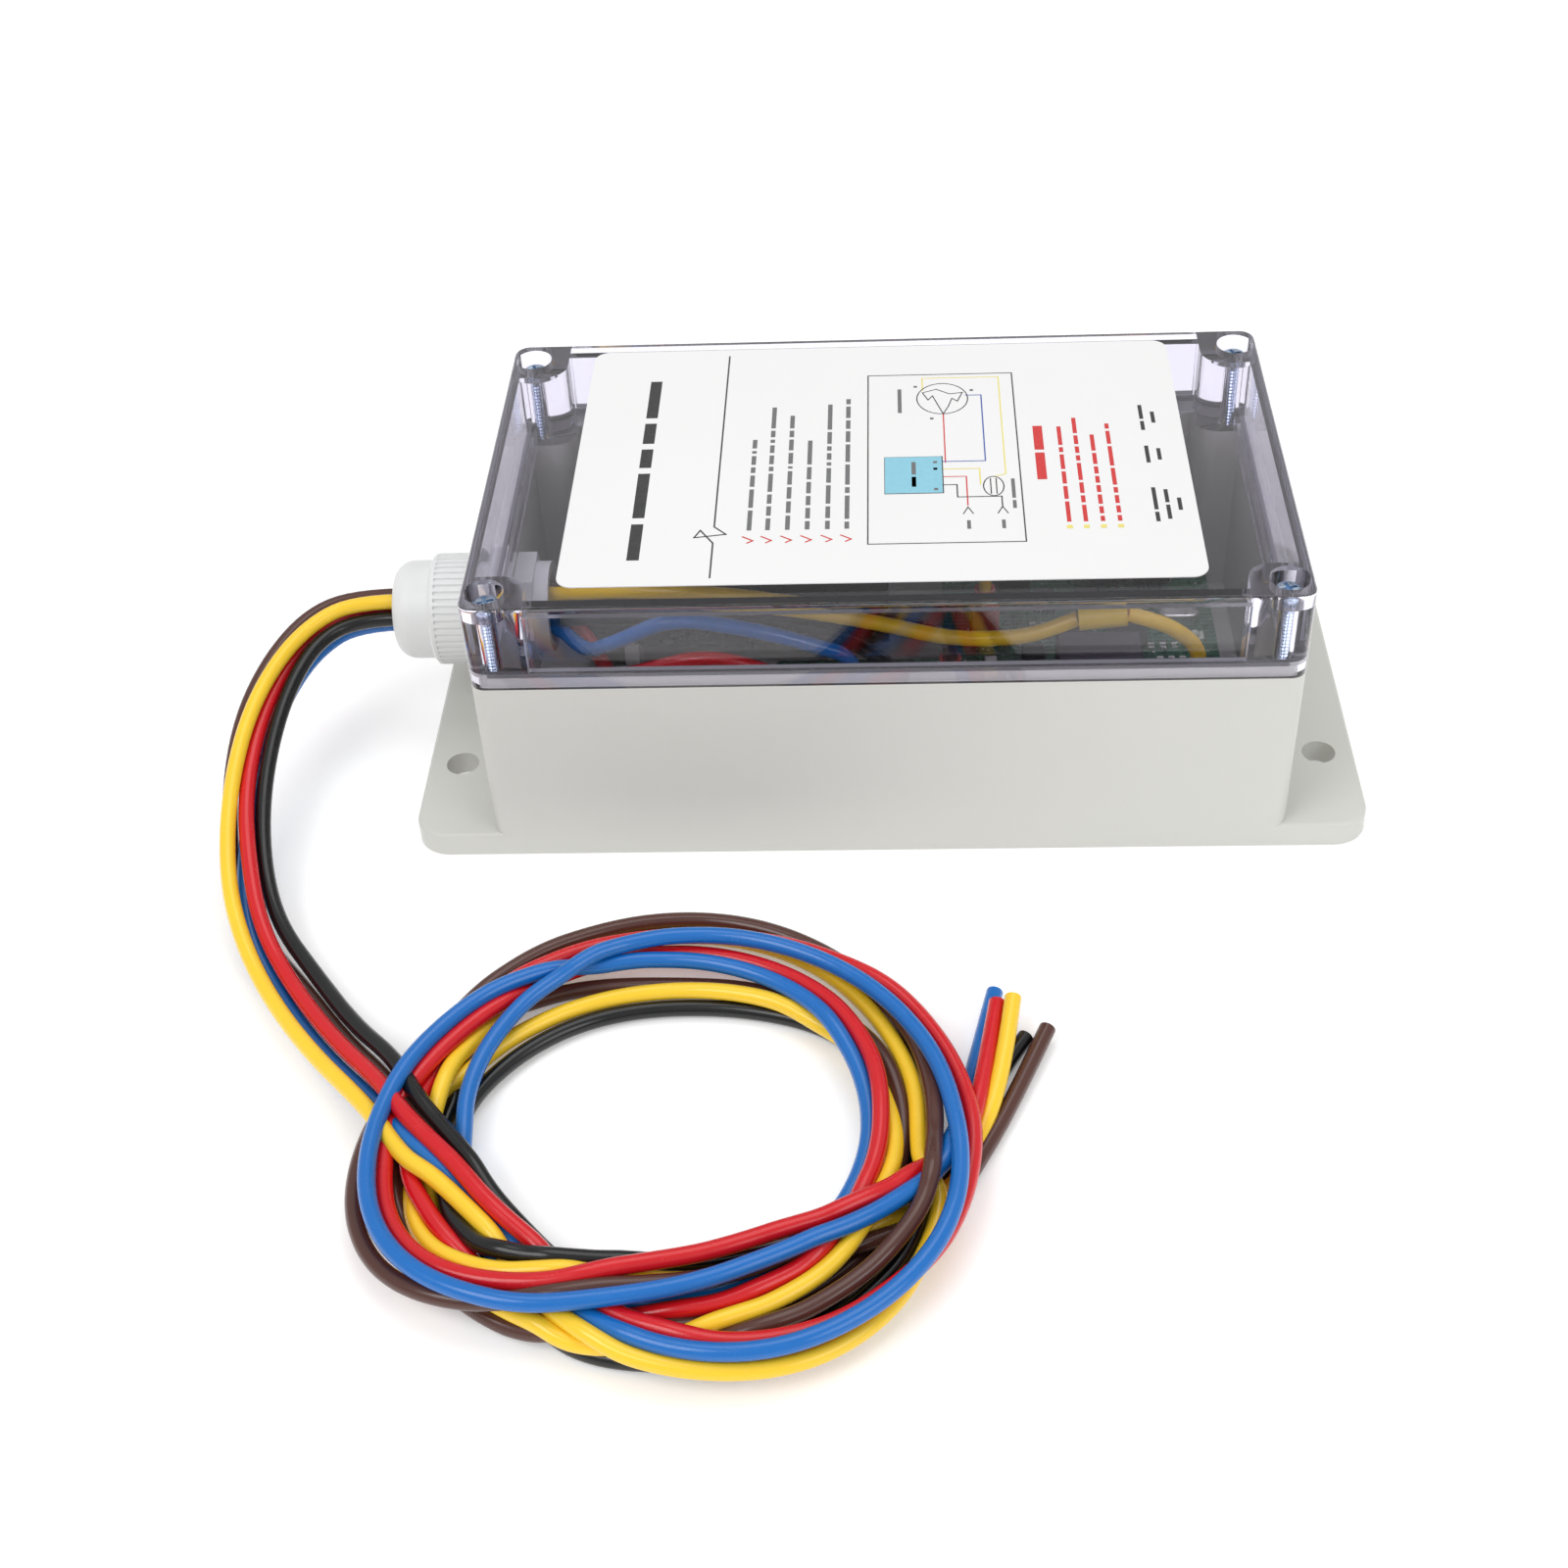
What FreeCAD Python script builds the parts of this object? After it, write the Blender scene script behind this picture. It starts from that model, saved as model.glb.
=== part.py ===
"""Clear-lid soft starter box: housing, lid, cable gland, start capacitor, control board and five leads.

Millimetres. X runs along the box, -Y is the front, +Z is up. The origin is the middle of the underside.
"""
import FreeCAD
import Part
import math
import os

V = FreeCAD.Vector
UP = V(0, 0, 1)
ALONG_X = V(1, 0, 0)
ALONG_Y = V(0, 1, 0)

# Housing
BOX_L, BOX_W, SEAM_Z, TOP_Z = 200.0, 120.0, 54.0, 78.0
WALL, FLOOR, CORNER_R = 3.2, 3.0, 4.0
EAR_L, EAR_T, EAR_R = 242.0, 6.6, 8.5
EAR_HOLE_X, EAR_HOLE_Y, EAR_HOLE_R = 112.0, 32.0, 4.3
BOSS = 15.0
BOSS_R = 6.0

# Lid and its screws
LID_TOP_T, LID_WALL, FLANGE_IN, FLANGE_H, WINDOW_RECESS = 2.6, 2.5, 5.1, 4.5, 2.6
TONGUE_T, TONGUE_H, TONGUE_GAP = 1.5, 3.0, 0.3
SEAL_H = 1.2
SCREW_X, SCREW_Y, SCREW_R = 94.3, 52.6, 2.0
WELL_R, WELL_FLOOR_Z = 4.8, 72.6
HEAD_R, HEAD_H = 3.4, 2.5
SCREW_LEN, THREAD_PITCH, THREAD_DEPTH = 32.0, 1.0, 0.35
INSERT_R, INSERT_LEN = 2.9, 12.0

# Cable gland, along X at the left end
GLAND_Z, GLAND_BORE_R, THREAD_R = 33.8, 11.4, 11.2
EXIT_X, NUT_MOUTH_R, NUT_DOME_R, COLLAR_R = -129.8, 7.4, 13.1, 14.8
COLLAR_X, COLLAR_END_X = -119.4, -108.4
FLANGE_X, LOCKNUT_R = -106.2, 13.6
BUSH_R = 8.6
NUT_DOME_BASE_X, NUT_DOME_LEN, NUT_DOME_DROP, DOME_STEPS = -124.8, 5.0, 4.2, 8
NUT_BORE_R, NUT_BORE_END_X, NUT_MOUTH_LEN = 10.7, -120.9, 2.6
NUT_FLUTES, FLUTE_R = 48, 0.5

# Leads
LEAD_R = 2.0
BUNDLE_R = 3.9
BUNDLE_ANGLE = {"yellow": 20, "black": 92, "blue": 164, "red": 236, "brown": 308}
LEAD_START_X = -129.0
JUMPER_R = 1.7

# Coil of spare lead lying on the ground
COIL_X, COIL_Y, COIL_OUT_R, COIL_IN_R, COIL_H = -48.0, -154.5, 67.0, 43.0, 13.0

# Board and what stands on it
BOARD_Z, BOARD_T = 11.0, 1.6
BOARD_TOP = BOARD_Z + BOARD_T
CAP_R, CAP_X0, CAP_X1, CAP_Y, CAP_Z = 23.0, -84.0, 1.0, 30.0, 26.6

# Where the leads land on the board, and the runs that they follow
LANDINGS = {"red": (-20.0, -34.0), "blue": (-8.0, -25.0), "black": (6.0, -34.0), "brown": (17.0, -15.0),
            "run": (80.0, -24.0), "start": (27.0, 12.0)}
SLEEVE_IN = BOARD_TOP + 2.6 + 9.0
SPLICE = V(50.0, -26.0, 48.0)

# Inner leads: after the straight run through the gland, down to the board.
INNER_ROUTES = {
    "yellow": [V(-86, -1.33, 37.46), V(-70, -9, 44), V(-44, -16, 48), V(-10, -20, 45), V(18, -24, 40),
               V(36, -26, 42), V(48.5, -26, 47.6)],
    "blue": [V(-88, -1.08, 30.05), V(-79, -12, 28.6), V(-69, -23, 40), V(-54, -26, 50), V(-32, -26.5, 46),
             V(-11, -25, 37), V(-8, -25, 33), V(-8, -25, SLEEVE_IN)],
    "red": [V(-90, 3.23, 31.62), V(-81, 1.5, 25.5), V(-73, -13, 21), V(-63, -33, 38), V(-44, -36, 46),
            V(-25, -34.4, 37), V(-20, -34, 33), V(-20, -34, SLEEVE_IN)],
    "black": [V(-80, -3.9, 33.66), V(-58, -6, 35), V(-30, -10, 34), V(-8, -16, 34), V(3, -29, 34),
              V(6, -34, 32), V(6, -34, SLEEVE_IN)],
    "brown": [V(-80, 3.07, 36.2), V(-56, 0, 36), V(-28, -2, 33), V(-2, -6, 34), V(13.5, -13, 34),
              V(17, -15, 32), V(17, -15, SLEEVE_IN)],
}

# Outer leads: from the gland's mouth, over the edge and down to the coil.
OUTER_ROUTES = {
    "yellow": [V(-141, -1.6, 37.5), V(-151, -7.5, 36), V(-159, -19.5, 33), V(-164.5, -37, 28),
               V(-166, -58, 21), V(-164, -78, 13.4), V(-158, -96, 9.8), V(-148.5, -113, 6),
               V(-134, -133, 7.2), V(-115.4, -153.4, 10)],
    "black": [V(-139.5, -3.9, 33.5), V(-149, -9.5, 32.4), V(-154.5, -21.5, 29.6), V(-158, -38, 24),
              V(-158.5, -58, 16.8), V(-155.5, -76, 9.8), V(-149, -92, 6.8), V(-138, -106.5, 5.2),
              V(-124.5, -125, 6.6), V(-113, -137.3, 9.5)],
    "blue": [V(-141.5, -1.1, 29.7), V(-151, -7.5, 27), V(-156.5, -20.5, 25), V(-161, -37.5, 19.8),
             V(-162, -58, 14.4), V(-160.5, -77.5, 9.8), V(-156, -95, 6), V(-146, -111.5, 2.2),
             V(-131.5, -131, 3), V(-115, -148.8, 6.4)],
    "red": [V(-142, 3.2, 31.4), V(-152, -4.5, 30.6), V(-158.5, -20, 28.7), V(-162.5, -37.5, 24),
            V(-162.5, -58, 18.8), V(-158.5, -77, 13.6), V(-153, -94, 8.8), V(-143.5, -109.5, 5.6),
            V(-129, -129, 6.6), V(-114.6, -145.1, 10)],
    "brown": [V(-142.5, 3.1, 36.1), V(-154, -3.5, 34.8), V(-162.5, -18, 30.8), V(-167.5, -36.5, 24.8),
              V(-167.5, -58, 16), V(-163.5, -78, 4.8), V(-153, -94, 2.2), V(-141, -108, 2.2),
              V(-126.5, -127, 3), V(-113.9, -141.1, 6.2)],
}

# Cut ends: from the coil's right side out to the bare tips.
TAIL_ROUTES = {
    "blue": [V(17.7, -142.5, 2.3), V(21.0, -129.0, 2.3), V(25.0, -112.0, 2.4)],
    "red": [V(19.0, -152.4, 6.5), V(22.2, -136.0, 6.4), V(25.2, -119.0, 6.4)],
    "yellow": [V(19.0, -158.2, 10.7), V(25.4, -142.0, 10.8), V(28.8, -119.5, 10.0)],
    "brown": [V(18.4, -164.0, 2.3), V(27.0, -147.0, 2.4), V(36.6, -124.5, 3.5)],
    "black": [V(18.8, -153.8, 2.2), V(23.4, -139.0, 2.2), V(31.6, -126.0, 2.2)],
}

os.makedirs("parts", exist_ok=True)


def save(name, shape):
    """Write one node and say how big it is."""
    if shape.ShapeType == "Compound" and len(shape.Solids) == 1:
        shape = shape.Solids[0]
    box = shape.BoundBox
    print("%-24s solids %2d valid %s volume %9.1f  box %s" % (
        name, len(shape.Solids), shape.isValid(), shape.Volume,
        [round(v, 1) for v in (box.XMin, box.XMax, box.YMin, box.YMax, box.ZMin, box.ZMax)]))
    shape.exportStep("parts/%s.step" % name)


def block(x0, x1, y0, y1, z0, z1):
    return Part.makeBox(x1 - x0, y1 - y0, z1 - z0, V(x0, y0, z0))


def rod(radius, start, end):
    way = end - start
    return Part.makeCylinder(radius, way.Length, start, way)


def ring(r_out, r_in, start, end):
    return rod(r_out, start, end).cut(rod(r_in, start, end))


def round_block(x0, x1, y0, y1, z0, z1, radius):
    """A block whose four upright edges are rounded."""
    body = block(x0, x1, y0, y1, z0, z1)
    upright = [e for e in body.Edges if abs(e.tangentAt(e.FirstParameter).z) > 0.99]
    return body.makeFillet(radius, upright)


def box_slab(inset, z0, z1, radius):
    """The box's own outline pulled in by inset, from z0 to z1."""
    x = BOX_L / 2 - inset
    y = BOX_W / 2 - inset
    return round_block(-x, x, -y, y, z0, z1, radius)


def soften(shape, edges, radius):
    """Round the edges, or leave the shape alone where the kernel can't."""
    try:
        done = shape.makeFillet(radius, edges)
        return done if done.isValid() and done.Volume > 0 else shape
    except Part.OCCError:
        return shape


def edges_at_z(shape, z):
    return [e for e in shape.Edges if abs(e.BoundBox.ZMin - z) < 1e-4 and abs(e.BoundBox.ZMax - z) < 1e-4]


def corners(x, y):
    return [(sx * x, sy * y) for sx in (-1, 1) for sy in (-1, 1)]


def corner_pillar(sx, sy, inset, z0, z1):
    """The pillar that fills one corner of the box, with its inner corner rounded."""
    x_out, y_out = BOX_L / 2 - inset, BOX_W / 2 - inset
    x_in, y_in = BOX_L / 2 - BOSS, BOX_W / 2 - BOSS
    body = block(x_in, x_out, y_in, y_out, z0, z1)
    inner = [e for e in body.Edges if e.BoundBox.XMax < x_in + 1e-6 and e.BoundBox.YMax < y_in + 1e-6]
    outer = [e for e in body.Edges if e.BoundBox.XMin > x_out - 1e-6 and e.BoundBox.YMin > y_out - 1e-6]
    body = body.makeFillet(BOSS_R, inner).makeFillet(CORNER_R - inset, outer)
    if sx < 0:
        body = body.mirror(V(0, 0, 0), ALONG_X)
    if sy < 0:
        body = body.mirror(V(0, 0, 0), ALONG_Y)
    return body


def base_housing():
    """Moulded grey tub with feet ears, screw bosses, board posts and the rim's tongue."""
    ears = round_block(-EAR_L / 2, EAR_L / 2, -BOX_W / 2, BOX_W / 2, 0, EAR_T, EAR_R)
    ears = soften(ears, edges_at_z(ears, EAR_T), 1.0)
    tub = box_slab(0, 0, SEAM_Z, CORNER_R).fuse(ears)
    hollow = box_slab(WALL, FLOOR, SEAM_Z + 1, CORNER_R - 1.5)
    tub = tub.cut(hollow)
    for sx in (-1, 1):
        for sy in (-1, 1):
            tub = tub.fuse(corner_pillar(sx, sy, WALL - 0.5, FLOOR - 0.5, SEAM_Z))
    tongue = box_slab(WALL - TONGUE_T, SEAM_Z - 0.5, SEAM_Z + TONGUE_H, CORNER_R - 1.0)
    tongue = tongue.cut(box_slab(WALL, SEAM_Z - 1, SEAM_Z + TONGUE_H + 1, CORNER_R - 1.5))
    tub = tub.fuse(tongue)
    for x, y in board_holes():
        tub = tub.fuse(rod(3.5, V(x, y, FLOOR - 0.5), V(x, y, BOARD_Z)))
    for x, y in board_holes():
        tub = tub.cut(rod(1.25, V(x, y, FLOOR), V(x, y, BOARD_Z + 1)))
    for x, y in corners(SCREW_X, SCREW_Y):
        tub = tub.cut(rod(INSERT_R, V(x, y, SEAM_Z - INSERT_LEN), V(x, y, SEAM_Z + 5)))
        tub = tub.cut(rod(SCREW_R + 0.4, V(x, y, SEAM_Z - 32), V(x, y, SEAM_Z)))
    for x, y in corners(EAR_HOLE_X, EAR_HOLE_Y):
        tub = tub.cut(rod(EAR_HOLE_R, V(x, y, -1), V(x, y, EAR_T + 1)))
    tub = tub.cut(rod(GLAND_BORE_R, V(-BOX_L / 2 - 1, 0, GLAND_Z), V(-BOX_L / 2 + WALL + 2, 0, GLAND_Z)))
    cradle = block(CAP_X0 + 12, CAP_X0 + 16, CAP_Y - 20, CAP_Y + 20, FLOOR - 0.5, 14)
    cradle = cradle.fuse(cradle.translated(V(56, 0, 0)))
    tub = tub.fuse(cradle.cut(rod(CAP_R + 0.02, V(CAP_X0, CAP_Y, CAP_Z), V(CAP_X1, CAP_Y, CAP_Z))))
    return tub.removeSplitter()


def threaded_inserts():
    """Four knurled brass inserts pressed into the screw bosses."""
    made = []
    for x, y in corners(SCREW_X, SCREW_Y):
        body = rod(INSERT_R, V(x, y, SEAM_Z - INSERT_LEN), V(x, y, SEAM_Z - 0.2))
        made.append(body.cut(rod(SCREW_R + 0.05, V(x, y, SEAM_Z - INSERT_LEN - 1), V(x, y, SEAM_Z + 1))))
    return Part.makeCompound(made)


def clear_lid():
    """Polycarbonate lid: full-size top and flange, walls set back between four screw pillars."""
    top_inner = TOP_Z - LID_TOP_T
    lid = box_slab(0, top_inner, TOP_Z, CORNER_R)
    lid = soften(lid, edges_at_z(lid, TOP_Z), 0.9)
    flange = box_slab(0, SEAM_Z, SEAM_Z + FLANGE_H, CORNER_R)
    flange = flange.cut(box_slab(FLANGE_IN, SEAM_Z - 1, SEAM_Z + FLANGE_H + 1, 2.0))
    lid = lid.fuse(flange)
    x, y = BOX_L / 2, BOX_W / 2 - WINDOW_RECESS
    walls = round_block(-x, x, -y, y, SEAM_Z + FLANGE_H - 0.5, top_inner + 0.5, 2.0)
    walls = walls.cut(round_block(-x + LID_WALL, x - LID_WALL, -y + LID_WALL, y - LID_WALL,
                                  SEAM_Z, top_inner + 0.5, 1.5))
    lid = lid.fuse(walls)
    for sx in (-1, 1):
        for sy in (-1, 1):
            lid = lid.fuse(corner_pillar(sx, sy, 0, SEAM_Z, TOP_Z - 1.0))
    groove_out = WALL - TONGUE_T - TONGUE_GAP
    groove = box_slab(groove_out, SEAM_Z - 1, SEAM_Z + TONGUE_H + SEAL_H, CORNER_R - 0.7)
    groove = groove.cut(box_slab(WALL + TONGUE_GAP, SEAM_Z - 2, SEAM_Z + TONGUE_H + SEAL_H + 1, CORNER_R - 1.8))
    lid = lid.cut(groove)
    for cx, cy in corners(SCREW_X, SCREW_Y):
        lid = lid.cut(rod(WELL_R, V(cx, cy, WELL_FLOOR_Z), V(cx, cy, TOP_Z + 1)))
        lid = lid.cut(rod(SCREW_R + 0.45, V(cx, cy, SEAM_Z - 1), V(cx, cy, TOP_Z)))
    return lid.removeSplitter()


def lid_seal():
    """Silicone cord lying in the top of the lid's groove, on the tongue."""
    z0, z1 = SEAM_Z + TONGUE_H + 0.05, SEAM_Z + TONGUE_H + SEAL_H
    seal = box_slab(WALL - TONGUE_T - TONGUE_GAP, z0, z1, CORNER_R - 0.7)
    return seal.cut(box_slab(WALL + TONGUE_GAP, z0 - 1, z1 + 1, CORNER_R - 1.8))


def lid_label():
    """Printed sheet on top of the lid."""
    return round_block(-77.5, 76.0, -51.8, 55.0, TOP_Z, TOP_Z + 0.25, 4.0)


def lid_screw(x, y):
    """Pan-head machine screw with a cross recess; the thread is a stack of rings."""
    top, tip = WELL_FLOOR_Z, WELL_FLOOR_Z - SCREW_LEN
    inner = SCREW_R - THREAD_DEPTH
    outline = [V(0, 0, tip), V(inner - 0.5, 0, tip), V(inner, 0, tip + 0.5)]
    rings = int((SCREW_LEN - 2.5) / THREAD_PITCH)
    for i in range(rings):
        z = tip + 0.8 + i * THREAD_PITCH
        outline += [V(inner, 0, z), V(SCREW_R, 0, z + THREAD_PITCH * 0.4), V(inner, 0, z + THREAD_PITCH * 0.8)]
    outline += [V(inner, 0, top - 0.6), V(SCREW_R, 0, top - 0.3), V(SCREW_R, 0, top), V(0, 0, top)]
    face = Part.Face(Part.makePolygon(outline + outline[:1]))
    body = face.revolve(V(0, 0, 0), UP, 360)
    head = rod(HEAD_R, V(0, 0, top), V(0, 0, top + HEAD_H))
    head = soften(head, edges_at_z(head, top + HEAD_H), 1.1)
    body = body.fuse(head)
    for turn in (0, 90):
        slot = block(-2.1, 2.1, -0.45, 0.45, top + HEAD_H - 1.6, top + HEAD_H + 1)
        slot.rotate(V(0, 0, 0), UP, turn + 20)
        body = body.cut(slot)
    body.translate(V(x, y, 0))
    return body


def revolved(profile):
    """Turn a list of (x, radius) points round the gland's axis."""
    points = [V(x, 0, GLAND_Z + r) for x, r in profile]
    face = Part.Face(Part.makePolygon(points + points[:1]))
    return face.revolve(V(0, 0, GLAND_Z), ALONG_X, 360)


def bundle_place(colour):
    """Where a lead sits in the gland's rubber bush: its y and z."""
    angle = math.radians(BUNDLE_ANGLE[colour])
    return -BUNDLE_R * math.sin(angle), GLAND_Z + BUNDLE_R * math.cos(angle)


def gland_body():
    """Threaded sleeve with a hexagon shoulder outside the wall and clamping fingers round the bush."""
    wall_out = -BOX_L / 2
    sleeve = ring(THREAD_R, 8.7, V(wall_out - 0.5, 0, GLAND_Z), V(-88.0, 0, GLAND_Z))
    shoulder = hexagon(15.0, FLANGE_X, wall_out - 1.2)
    shoulder = shoulder.cut(rod(8.7, V(FLANGE_X - 1, 0, GLAND_Z), V(wall_out, 0, GLAND_Z)))
    front = ring(10.62, 8.7, V(-113.5, 0, GLAND_Z), V(FLANGE_X, 0, GLAND_Z))
    neck = ring(THREAD_R, 8.7, V(wall_out - 1.3, 0, GLAND_Z), V(wall_out, 0, GLAND_Z))
    body = sleeve.fuse([shoulder, front, neck])
    fingers = ring(10.2, 8.7, V(-120.5, 0, GLAND_Z), V(-113.4, 0, GLAND_Z))
    for i in range(6):
        slit = block(-121.5, -114.0, -0.5, 0.5, GLAND_Z - 12, GLAND_Z + 12)
        slit.rotate(V(0, 0, GLAND_Z), ALONG_X, 30 * i)
        fingers = fingers.cut(slit)
    return body.fuse(fingers).removeSplitter()


def hexagon(across_corners_r, x0, x1):
    points = [V(x0, across_corners_r * math.cos(math.radians(60 * i)),
                GLAND_Z + across_corners_r * math.sin(math.radians(60 * i))) for i in range(6)]
    return Part.Face(Part.makePolygon(points + points[:1])).extrude(V(x1 - x0, 0, 0))


def gland_washer():
    x = -BOX_L / 2
    return ring(14.0, THREAD_R + 0.02, V(x - 1.2, 0, GLAND_Z), V(x, 0, GLAND_Z))


def gland_locknut():
    x = -BOX_L / 2 + WALL
    return hexagon(LOCKNUT_R, x, x + 5.0).cut(rod(THREAD_R + 0.02, V(x - 1, 0, GLAND_Z), V(x + 6, 0, GLAND_Z)))


def gland_bush():
    """Rubber bush with one hole for each lead."""
    bush = rod(BUSH_R, V(-122.0, 0, GLAND_Z), V(-104.0, 0, GLAND_Z))
    nose = Part.makeCone(7.0, BUSH_R, 4.5, V(-126.5, 0, GLAND_Z), ALONG_X)
    bush = bush.fuse(nose)
    for colour in BUNDLE_ANGLE:
        y, z = bundle_place(colour)
        bush = bush.cut(rod(LEAD_R + 0.02, V(-130, y, z), V(-100, y, z)))
    return bush.removeSplitter()


def gland_nut():
    """Domed nut with a finely fluted grip that squeezes the bush as it is turned."""
    profile = [(COLLAR_END_X, COLLAR_R), (COLLAR_X + 0.8, COLLAR_R), (COLLAR_X, COLLAR_R - 0.8),
               (COLLAR_X, NUT_DOME_R)]
    for i in range(DOME_STEPS + 1):
        a = math.radians(90.0 * i / DOME_STEPS)
        profile.append((NUT_DOME_BASE_X - NUT_DOME_LEN * math.sin(a),
                        NUT_DOME_R - NUT_DOME_DROP * (1 - math.cos(a))))
    profile += [(EXIT_X, NUT_MOUTH_R), (EXIT_X + NUT_MOUTH_LEN, NUT_MOUTH_R),
                (NUT_BORE_END_X, NUT_BORE_R), (COLLAR_END_X, NUT_BORE_R)]
    nut = revolved(profile)
    for i in range(NUT_FLUTES):
        a = 2 * math.pi * i / NUT_FLUTES
        y, z = COLLAR_R * math.cos(a), GLAND_Z + COLLAR_R * math.sin(a)
        nut = nut.cut(rod(FLUTE_R, V(COLLAR_X + 1.6, y, z), V(COLLAR_END_X + 1, y, z)))
    return nut


def board_holes():
    return [(-25.0, -39.0), (-25.0, -2.5), (85.0, -39.0), (85.0, 39.0), (21.0, 39.0)]


def circuit_board():
    """L-shaped board: a full block at the right and a strip in front of the capacitor."""
    board = round_block(-30, 90, -44, 3, BOARD_Z, BOARD_TOP, 2.0)
    board = board.fuse(round_block(16, 90, -20, 44, BOARD_Z, BOARD_TOP, 2.0))
    for x, y in board_holes():
        board = board.cut(rod(1.7, V(x, y, BOARD_Z - 1), V(x, y, BOARD_TOP + 1)))
    return board.removeSplitter()


def board_screws():
    made = []
    for x, y in board_holes():
        screw = rod(1.2, V(x, y, BOARD_Z - 6), V(x, y, BOARD_TOP))
        head = rod(2.8, V(x, y, BOARD_TOP), V(x, y, BOARD_TOP + 1.8))
        head = soften(head, edges_at_z(head, BOARD_TOP + 1.8), 0.8)
        slot = block(x - 1.8, x + 1.8, y - 0.3, y + 0.3, BOARD_TOP + 1.0, BOARD_TOP + 3)
        cross = block(x - 0.3, x + 0.3, y - 1.8, y + 1.8, BOARD_TOP + 1.0, BOARD_TOP + 3)
        made.append(screw.fuse(head).cut(slot.fuse(cross)))
    return Part.makeCompound(made)


def start_capacitor():
    """Black phenolic can with a rolled lip at its right end."""
    a, b = V(CAP_X0, CAP_Y, CAP_Z), V(CAP_X1, CAP_Y, CAP_Z)
    can = rod(CAP_R, a, b)
    left = [e for e in can.Edges if e.BoundBox.XMax < CAP_X0 + 0.01]
    can = soften(can, left, 2.5)
    return can.cut(rod(CAP_R - 2.0, V(CAP_X1 - 1.5, CAP_Y, CAP_Z), V(CAP_X1 + 1, CAP_Y, CAP_Z)))


def capacitor_terminals():
    """Two pairs of spade blades riveted to the capacitor's end."""
    made = []
    x = CAP_X1 - 1.5
    for y in (CAP_Y - 9, CAP_Y + 9):
        rivet = rod(3.0, V(x, y, CAP_Z), V(x + 2.0, y, CAP_Z))
        blade = block(x + 1.5, x + 9.5, y - 0.4, y + 0.4, CAP_Z - 3.1, CAP_Z + 3.1)
        made.append(rivet.fuse(blade))
    return Part.makeCompound(made)


def capacitor_strap():
    """Nylon tie round the can, threaded under it."""
    x0, x1 = CAP_X0 + 40, CAP_X0 + 47
    band = ring(CAP_R + 1.1, CAP_R + 0.02, V(x0, CAP_Y, CAP_Z), V(x1, CAP_Y, CAP_Z))
    head = block(x0 - 1, x1 + 1, CAP_Y - 5, CAP_Y + 3, CAP_Z + CAP_R + 0.5, CAP_Z + CAP_R + 5.5)
    head = head.cut(rod(CAP_R + 0.6, V(x0 - 2, CAP_Y, CAP_Z), V(x1 + 2, CAP_Y, CAP_Z)))
    band = band.fuse(head)
    return band.cut(block(x0 - 5, x1 + 5, CAP_Y - 30, CAP_Y + 30, FLOOR - 5, FLOOR))


def on_board(x0, x1, y0, y1, height, radius=0.6):
    """A moulded block standing on the board, with its upper edges softened."""
    body = block(x0, x1, y0, y1, BOARD_TOP, BOARD_TOP + height)
    edges = [e for e in body.Edges if e.BoundBox.ZMax > BOARD_TOP + 0.1]
    return soften(body, edges, radius)


def pads(places, x_size, y_size, height):
    made = [on_board(x - x_size / 2, x + x_size / 2, y - y_size / 2, y + y_size / 2, height, 0.15)
            for x, y in places]
    return Part.makeCompound(made)


def upright_cans(places, radius, height):
    """Small electrolytic cans standing on the board."""
    made = []
    for x, y in places:
        can = rod(radius, V(x, y, BOARD_TOP), V(x, y, BOARD_TOP + height))
        made.append(soften(can, edges_at_z(can, BOARD_TOP + height), 0.5))
    return Part.makeCompound(made)


def heat_sink():
    """Finned aluminium block behind the two thyristors."""
    base = block(56, 80, 33, 36, BOARD_TOP, BOARD_TOP + 26)
    for i in range(5):
        x = 56 + i * 5.5
        base = base.fuse(block(x, x + 1.6, 35.5, 43, BOARD_TOP, BOARD_TOP + 26))
    return base.removeSplitter()


def thyristors():
    """Two tab-mounted power switches bolted to the heat sink."""
    made = []
    for x in (62.0, 74.0):
        package = on_board(x - 5, x + 5, 28.4, 31.7, 12.0, 0.3).translated(V(0, 0, 3.5))
        tab = block(x - 5, x + 5, 31.7, 33.0, BOARD_TOP + 4, BOARD_TOP + 20)
        legs = [block(x + d - 0.4, x + d + 0.4, 29.8, 30.3, BOARD_TOP, BOARD_TOP + 3.6) for d in (-2.5, 0, 2.5)]
        bolt = rod(2.6, V(x, 29.4, BOARD_TOP + 17.5), V(x, 31.8, BOARD_TOP + 17.5))
        made.append(package.fuse([tab, bolt] + legs).removeSplitter())
    return Part.makeCompound(made)


def relay():
    """Sealed power relay that drops the start capacitor out."""
    return on_board(45, 67, -24, -6, 15.5, 0.8)


def control_chips():
    """Controller, two small chips and the opto-isolators, with their legs."""
    made = []
    for x, y, size in ((66, 12, 10.0), (51, 14, 6.0), (40, 4, 6.0), (56, 26, 6.0), (44, 26, 6.0)):
        made.append(on_board(x - size / 2, x + size / 2, y - size / 2, y + size / 2, 1.7, 0.25))
        for i in range(int(size / 1.3)):
            leg_x = x - size / 2 + 0.7 + i * 1.3
            for leg_y in (y - size / 2 - 1.0, y + size / 2):
                made.append(block(leg_x, leg_x + 0.5, leg_y, leg_y + 1.0, BOARD_TOP, BOARD_TOP + 0.6))
    return Part.makeCompound(made)


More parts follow.
